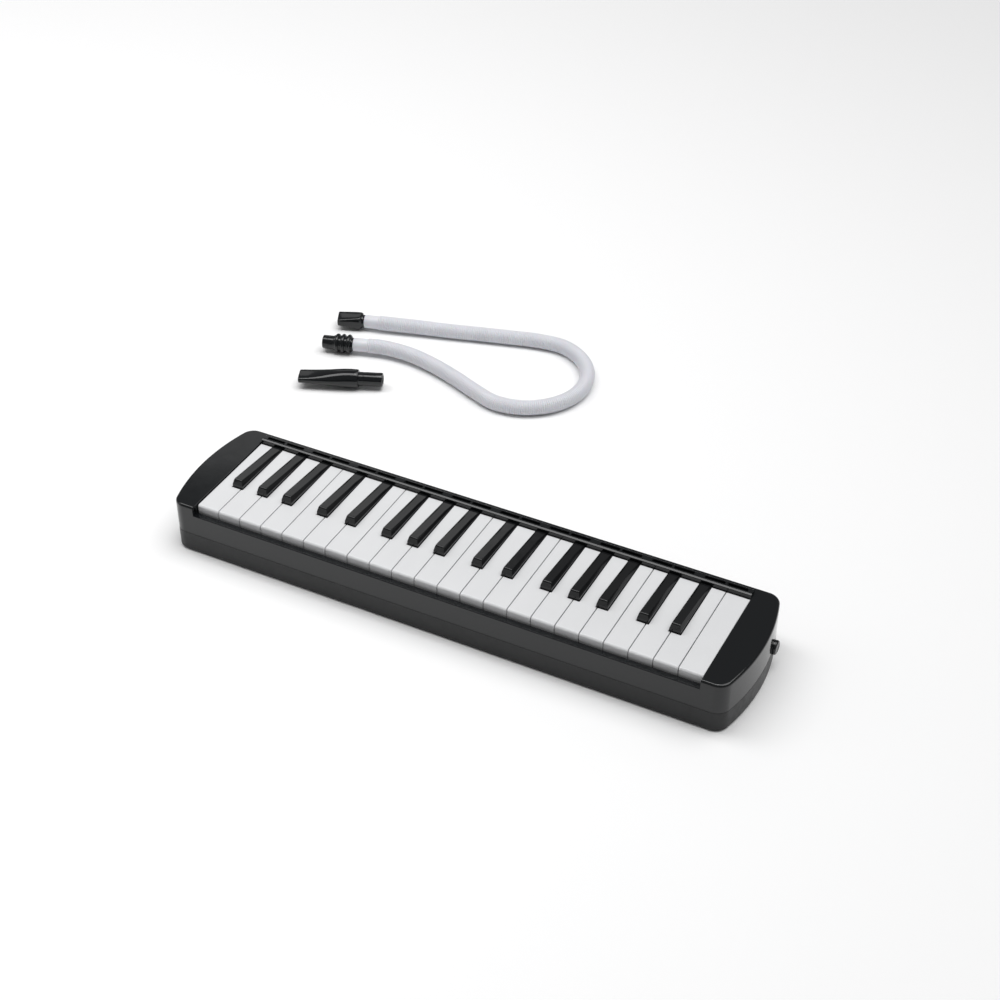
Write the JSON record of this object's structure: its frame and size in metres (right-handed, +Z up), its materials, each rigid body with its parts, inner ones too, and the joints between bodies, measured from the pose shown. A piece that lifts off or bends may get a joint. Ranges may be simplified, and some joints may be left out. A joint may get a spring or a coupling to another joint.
{
  "type": "melodica",
  "caption": "Melodica: a key-operated free-reed wind instrument, blown through a socket at one end, with a corrugated blowing hose and a short mouthpiece.",
  "frame": {"origin": "on the resting plane, under the middle of the case", "axes": "+X to the high notes along the keyboard, +Y to the rear away from the player, +Z up"},
  "size_m": [0.4648, 0.3482, 0.0441],
  "materials": {
    "black_gloss": "polished black ABS",
    "black_flat": "fine-textured black ABS",
    "key_white": "satin-gloss white ABS",
    "key_black": "glossy black ABS",
    "grey_plastic": "moulded grey ABS",
    "hose_white": "soft white polyethylene, corrugated",
    "reed_brass": "rolled brass plate",
    "spring_steel": "bright spring steel",
    "felt": "pressed wool felt",
    "rubber": "moulded rubber",
    "strap": "grained synthetic leather, stitched"
  },
  "bodies": {
    "case": {"top_cover": "black_gloss", "bottom_cover": "black_flat", "wind_chest": "grey_plastic", "chest_gasket": "rubber", "chest_lid": "grey_plastic", "reed_plate_bass": "reed_brass", "reed_plate_treble": "reed_brass", "key_axle": "spring_steel", "key_springs": "spring_steel", "white_key_felt": "felt", "black_key_felt": "felt", "blow_socket": "black_flat", "drain_spring": "spring_steel", "hand_strap": "strap", "strap_anchor_left": "black_flat", "strap_anchor_right": "black_flat"},
    "drain_valve": {"drain_button": "black_gloss", "drain_seal": "rubber"},
    "hose_set": {"hose_tube": "hose_white", "hose_mouthpiece": "black_flat", "hose_connector": "black_gloss"},
    "short_mouthpiece": {"short_mouthpiece": "black_gloss"},
    "key_F3": {"white_key_F3": "key_white"},
    "key_Fs3": {"black_key_Fs3": "key_black"},
    "key_G3": {"white_key_G3": "key_white"},
    "key_Gs3": {"black_key_Gs3": "key_black"},
    "key_A3": {"white_key_A3": "key_white"},
    "key_As3": {"black_key_As3": "key_black"},
    "key_B3": {"white_key_B3": "key_white"},
    "key_C4": {"white_key_C4": "key_white"},
    "key_Cs4": {"black_key_Cs4": "key_black"},
    "key_D4": {"white_key_D4": "key_white"},
    "key_Ds4": {"black_key_Ds4": "key_black"},
    "key_E4": {"white_key_E4": "key_white"},
    "key_F4": {"white_key_F4": "key_white"},
    "key_Fs4": {"black_key_Fs4": "key_black"},
    "key_G4": {"white_key_G4": "key_white"},
    "key_Gs4": {"black_key_Gs4": "key_black"},
    "key_A4": {"white_key_A4": "key_white"},
    "key_As4": {"black_key_As4": "key_black"},
    "key_B4": {"white_key_B4": "key_white"},
    "key_C5": {"white_key_C5": "key_white"},
    "key_Cs5": {"black_key_Cs5": "key_black"},
    "key_D5": {"white_key_D5": "key_white"},
    "key_Ds5": {"black_key_Ds5": "key_black"},
    "key_E5": {"white_key_E5": "key_white"},
    "key_F5": {"white_key_F5": "key_white"},
    "key_Fs5": {"black_key_Fs5": "key_black"},
    "key_G5": {"white_key_G5": "key_white"},
    "key_Gs5": {"black_key_Gs5": "key_black"},
    "key_A5": {"white_key_A5": "key_white"},
    "key_As5": {"black_key_As5": "key_black"},
    "key_B5": {"white_key_B5": "key_white"},
    "key_C6": {"white_key_C6": "key_white"},
    "key_Cs6": {"black_key_Cs6": "key_black"},
    "key_D6": {"white_key_D6": "key_white"},
    "key_Ds6": {"black_key_Ds6": "key_black"},
    "key_E6": {"white_key_E6": "key_white"},
    "key_F6": {"white_key_F6": "key_white"}
  },
  "joints": [
    {"name": "drain_press", "type": "slide", "parent": "case", "child": "drain_valve", "axis": [-1, 0, 0], "range_m": [0, 0.003], "stiffness_N_per_m": 400, "springref_m": -0.004, "deforming": ["drain_spring"]},
    {"name": "hose_set_lift", "type": "slide", "parent": "case", "child": "hose_set", "axis": [0, 0, 1], "range_m": [0, 0.05]},
    {"name": "short_mouthpiece_lift", "type": "slide", "parent": "case", "child": "short_mouthpiece", "axis": [0, 0, 1], "range_m": [0, 0.05]},
    {"name": "F3_press", "type": "hinge", "parent": "case", "child": "key_F3", "pos_m": [0, 0.024, 0.03], "axis": [1, 0, 0], "range_deg": [0, 3.4], "stiffness_Nm_per_rad": 0.5, "springref_deg": -2.86, "deforming": ["key_springs"]},
    {"name": "Fs3_press", "type": "hinge", "parent": "case", "child": "key_Fs3", "pos_m": [0, 0.024, 0.03], "axis": [1, 0, 0], "range_deg": [0, 4], "stiffness_Nm_per_rad": 0.5, "springref_deg": -2.86, "deforming": ["key_springs"]},
    {"name": "G3_press", "type": "hinge", "parent": "case", "child": "key_G3", "pos_m": [0, 0.024, 0.03], "axis": [1, 0, 0], "range_deg": [0, 3.4], "stiffness_Nm_per_rad": 0.5, "springref_deg": -2.86, "deforming": ["key_springs"]},
    {"name": "Gs3_press", "type": "hinge", "parent": "case", "child": "key_Gs3", "pos_m": [0, 0.024, 0.03], "axis": [1, 0, 0], "range_deg": [0, 4], "stiffness_Nm_per_rad": 0.5, "springref_deg": -2.86, "deforming": ["key_springs"]},
    {"name": "A3_press", "type": "hinge", "parent": "case", "child": "key_A3", "pos_m": [0, 0.024, 0.03], "axis": [1, 0, 0], "range_deg": [0, 3.4], "stiffness_Nm_per_rad": 0.5, "springref_deg": -2.86, "deforming": ["key_springs"]},
    {"name": "As3_press", "type": "hinge", "parent": "case", "child": "key_As3", "pos_m": [0, 0.024, 0.03], "axis": [1, 0, 0], "range_deg": [0, 4], "stiffness_Nm_per_rad": 0.5, "springref_deg": -2.86, "deforming": ["key_springs"]},
    {"name": "B3_press", "type": "hinge", "parent": "case", "child": "key_B3", "pos_m": [0, 0.024, 0.03], "axis": [1, 0, 0], "range_deg": [0, 3.4], "stiffness_Nm_per_rad": 0.5, "springref_deg": -2.86, "deforming": ["key_springs"]},
    {"name": "C4_press", "type": "hinge", "parent": "case", "child": "key_C4", "pos_m": [0, 0.024, 0.03], "axis": [1, 0, 0], "range_deg": [0, 3.4], "stiffness_Nm_per_rad": 0.5, "springref_deg": -2.86, "deforming": ["key_springs"]},
    {"name": "Cs4_press", "type": "hinge", "parent": "case", "child": "key_Cs4", "pos_m": [0, 0.024, 0.03], "axis": [1, 0, 0], "range_deg": [0, 4], "stiffness_Nm_per_rad": 0.5, "springref_deg": -2.86, "deforming": ["key_springs"]},
    {"name": "D4_press", "type": "hinge", "parent": "case", "child": "key_D4", "pos_m": [0, 0.024, 0.03], "axis": [1, 0, 0], "range_deg": [0, 3.4], "stiffness_Nm_per_rad": 0.5, "springref_deg": -2.86, "deforming": ["key_springs"]},
    {"name": "Ds4_press", "type": "hinge", "parent": "case", "child": "key_Ds4", "pos_m": [0, 0.024, 0.03], "axis": [1, 0, 0], "range_deg": [0, 4], "stiffness_Nm_per_rad": 0.5, "springref_deg": -2.86, "deforming": ["key_springs"]},
    {"name": "E4_press", "type": "hinge", "parent": "case", "child": "key_E4", "pos_m": [0, 0.024, 0.03], "axis": [1, 0, 0], "range_deg": [0, 3.4], "stiffness_Nm_per_rad": 0.5, "springref_deg": -2.86, "deforming": ["key_springs"]},
    {"name": "F4_press", "type": "hinge", "parent": "case", "child": "key_F4", "pos_m": [0, 0.024, 0.03], "axis": [1, 0, 0], "range_deg": [0, 3.4], "stiffness_Nm_per_rad": 0.5, "springref_deg": -2.86, "deforming": ["key_springs"]},
    {"name": "Fs4_press", "type": "hinge", "parent": "case", "child": "key_Fs4", "pos_m": [0, 0.024, 0.03], "axis": [1, 0, 0], "range_deg": [0, 4], "stiffness_Nm_per_rad": 0.5, "springref_deg": -2.86, "deforming": ["key_springs"]},
    {"name": "G4_press", "type": "hinge", "parent": "case", "child": "key_G4", "pos_m": [0, 0.024, 0.03], "axis": [1, 0, 0], "range_deg": [0, 3.4], "stiffness_Nm_per_rad": 0.5, "springref_deg": -2.86, "deforming": ["key_springs"]},
    {"name": "Gs4_press", "type": "hinge", "parent": "case", "child": "key_Gs4", "pos_m": [0, 0.024, 0.03], "axis": [1, 0, 0], "range_deg": [0, 4], "stiffness_Nm_per_rad": 0.5, "springref_deg": -2.86, "deforming": ["key_springs"]},
    {"name": "A4_press", "type": "hinge", "parent": "case", "child": "key_A4", "pos_m": [0, 0.024, 0.03], "axis": [1, 0, 0], "range_deg": [0, 3.4], "stiffness_Nm_per_rad": 0.5, "springref_deg": -2.86, "deforming": ["key_springs"]},
    {"name": "As4_press", "type": "hinge", "parent": "case", "child": "key_As4", "pos_m": [0, 0.024, 0.03], "axis": [1, 0, 0], "range_deg": [0, 4], "stiffness_Nm_per_rad": 0.5, "springref_deg": -2.86, "deforming": ["key_springs"]},
    {"name": "B4_press", "type": "hinge", "parent": "case", "child": "key_B4", "pos_m": [0, 0.024, 0.03], "axis": [1, 0, 0], "range_deg": [0, 3.4], "stiffness_Nm_per_rad": 0.5, "springref_deg": -2.86, "deforming": ["key_springs"]},
    {"name": "C5_press", "type": "hinge", "parent": "case", "child": "key_C5", "pos_m": [0, 0.024, 0.03], "axis": [1, 0, 0], "range_deg": [0, 3.4], "stiffness_Nm_per_rad": 0.5, "springref_deg": -2.86, "deforming": ["key_springs"]},
    {"name": "Cs5_press", "type": "hinge", "parent": "case", "child": "key_Cs5", "pos_m": [0, 0.024, 0.03], "axis": [1, 0, 0], "range_deg": [0, 4], "stiffness_Nm_per_rad": 0.5, "springref_deg": -2.86, "deforming": ["key_springs"]},
    {"name": "D5_press", "type": "hinge", "parent": "case", "child": "key_D5", "pos_m": [0, 0.024, 0.03], "axis": [1, 0, 0], "range_deg": [0, 3.4], "stiffness_Nm_per_rad": 0.5, "springref_deg": -2.86, "deforming": ["key_springs"]},
    {"name": "Ds5_press", "type": "hinge", "parent": "case", "child": "key_Ds5", "pos_m": [0, 0.024, 0.03], "axis": [1, 0, 0], "range_deg": [0, 4], "stiffness_Nm_per_rad": 0.5, "springref_deg": -2.86, "deforming": ["key_springs"]},
    {"name": "E5_press", "type": "hinge", "parent": "case", "child": "key_E5", "pos_m": [0, 0.024, 0.03], "axis": [1, 0, 0], "range_deg": [0, 3.4], "stiffness_Nm_per_rad": 0.5, "springref_deg": -2.86, "deforming": ["key_springs"]},
    {"name": "F5_press", "type": "hinge", "parent": "case", "child": "key_F5", "pos_m": [0, 0.024, 0.03], "axis": [1, 0, 0], "range_deg": [0, 3.4], "stiffness_Nm_per_rad": 0.5, "springref_deg": -2.86, "deforming": ["key_springs"]},
    {"name": "Fs5_press", "type": "hinge", "parent": "case", "child": "key_Fs5", "pos_m": [0, 0.024, 0.03], "axis": [1, 0, 0], "range_deg": [0, 4], "stiffness_Nm_per_rad": 0.5, "springref_deg": -2.86, "deforming": ["key_springs"]},
    {"name": "G5_press", "type": "hinge", "parent": "case", "child": "key_G5", "pos_m": [0, 0.024, 0.03], "axis": [1, 0, 0], "range_deg": [0, 3.4], "stiffness_Nm_per_rad": 0.5, "springref_deg": -2.86, "deforming": ["key_springs"]},
    {"name": "Gs5_press", "type": "hinge", "parent": "case", "child": "key_Gs5", "pos_m": [0, 0.024, 0.03], "axis": [1, 0, 0], "range_deg": [0, 4], "stiffness_Nm_per_rad": 0.5, "springref_deg": -2.86, "deforming": ["key_springs"]},
    {"name": "A5_press", "type": "hinge", "parent": "case", "child": "key_A5", "pos_m": [0, 0.024, 0.03], "axis": [1, 0, 0], "range_deg": [0, 3.4], "stiffness_Nm_per_rad": 0.5, "springref_deg": -2.86, "deforming": ["key_springs"]},
    {"name": "As5_press", "type": "hinge", "parent": "case", "child": "key_As5", "pos_m": [0, 0.024, 0.03], "axis": [1, 0, 0], "range_deg": [0, 4], "stiffness_Nm_per_rad": 0.5, "springref_deg": -2.86, "deforming": ["key_springs"]},
    {"name": "B5_press", "type": "hinge", "parent": "case", "child": "key_B5", "pos_m": [0, 0.024, 0.03], "axis": [1, 0, 0], "range_deg": [0, 3.4], "stiffness_Nm_per_rad": 0.5, "springref_deg": -2.86, "deforming": ["key_springs"]},
    {"name": "C6_press", "type": "hinge", "parent": "case", "child": "key_C6", "pos_m": [0, 0.024, 0.03], "axis": [1, 0, 0], "range_deg": [0, 3.4], "stiffness_Nm_per_rad": 0.5, "springref_deg": -2.86, "deforming": ["key_springs"]},
    {"name": "Cs6_press", "type": "hinge", "parent": "case", "child": "key_Cs6", "pos_m": [0, 0.024, 0.03], "axis": [1, 0, 0], "range_deg": [0, 4], "stiffness_Nm_per_rad": 0.5, "springref_deg": -2.86, "deforming": ["key_springs"]},
    {"name": "D6_press", "type": "hinge", "parent": "case", "child": "key_D6", "pos_m": [0, 0.024, 0.03], "axis": [1, 0, 0], "range_deg": [0, 3.4], "stiffness_Nm_per_rad": 0.5, "springref_deg": -2.86, "deforming": ["key_springs"]},
    {"name": "Ds6_press", "type": "hinge", "parent": "case", "child": "key_Ds6", "pos_m": [0, 0.024, 0.03], "axis": [1, 0, 0], "range_deg": [0, 4], "stiffness_Nm_per_rad": 0.5, "springref_deg": -2.86, "deforming": ["key_springs"]},
    {"name": "E6_press", "type": "hinge", "parent": "case", "child": "key_E6", "pos_m": [0, 0.024, 0.03], "axis": [1, 0, 0], "range_deg": [0, 3.4], "stiffness_Nm_per_rad": 0.5, "springref_deg": -2.86, "deforming": ["key_springs"]},
    {"name": "F6_press", "type": "hinge", "parent": "case", "child": "key_F6", "pos_m": [0, 0.024, 0.03], "axis": [1, 0, 0], "range_deg": [0, 3.4], "stiffness_Nm_per_rad": 0.5, "springref_deg": -2.86, "deforming": ["key_springs"]}
  ]
}
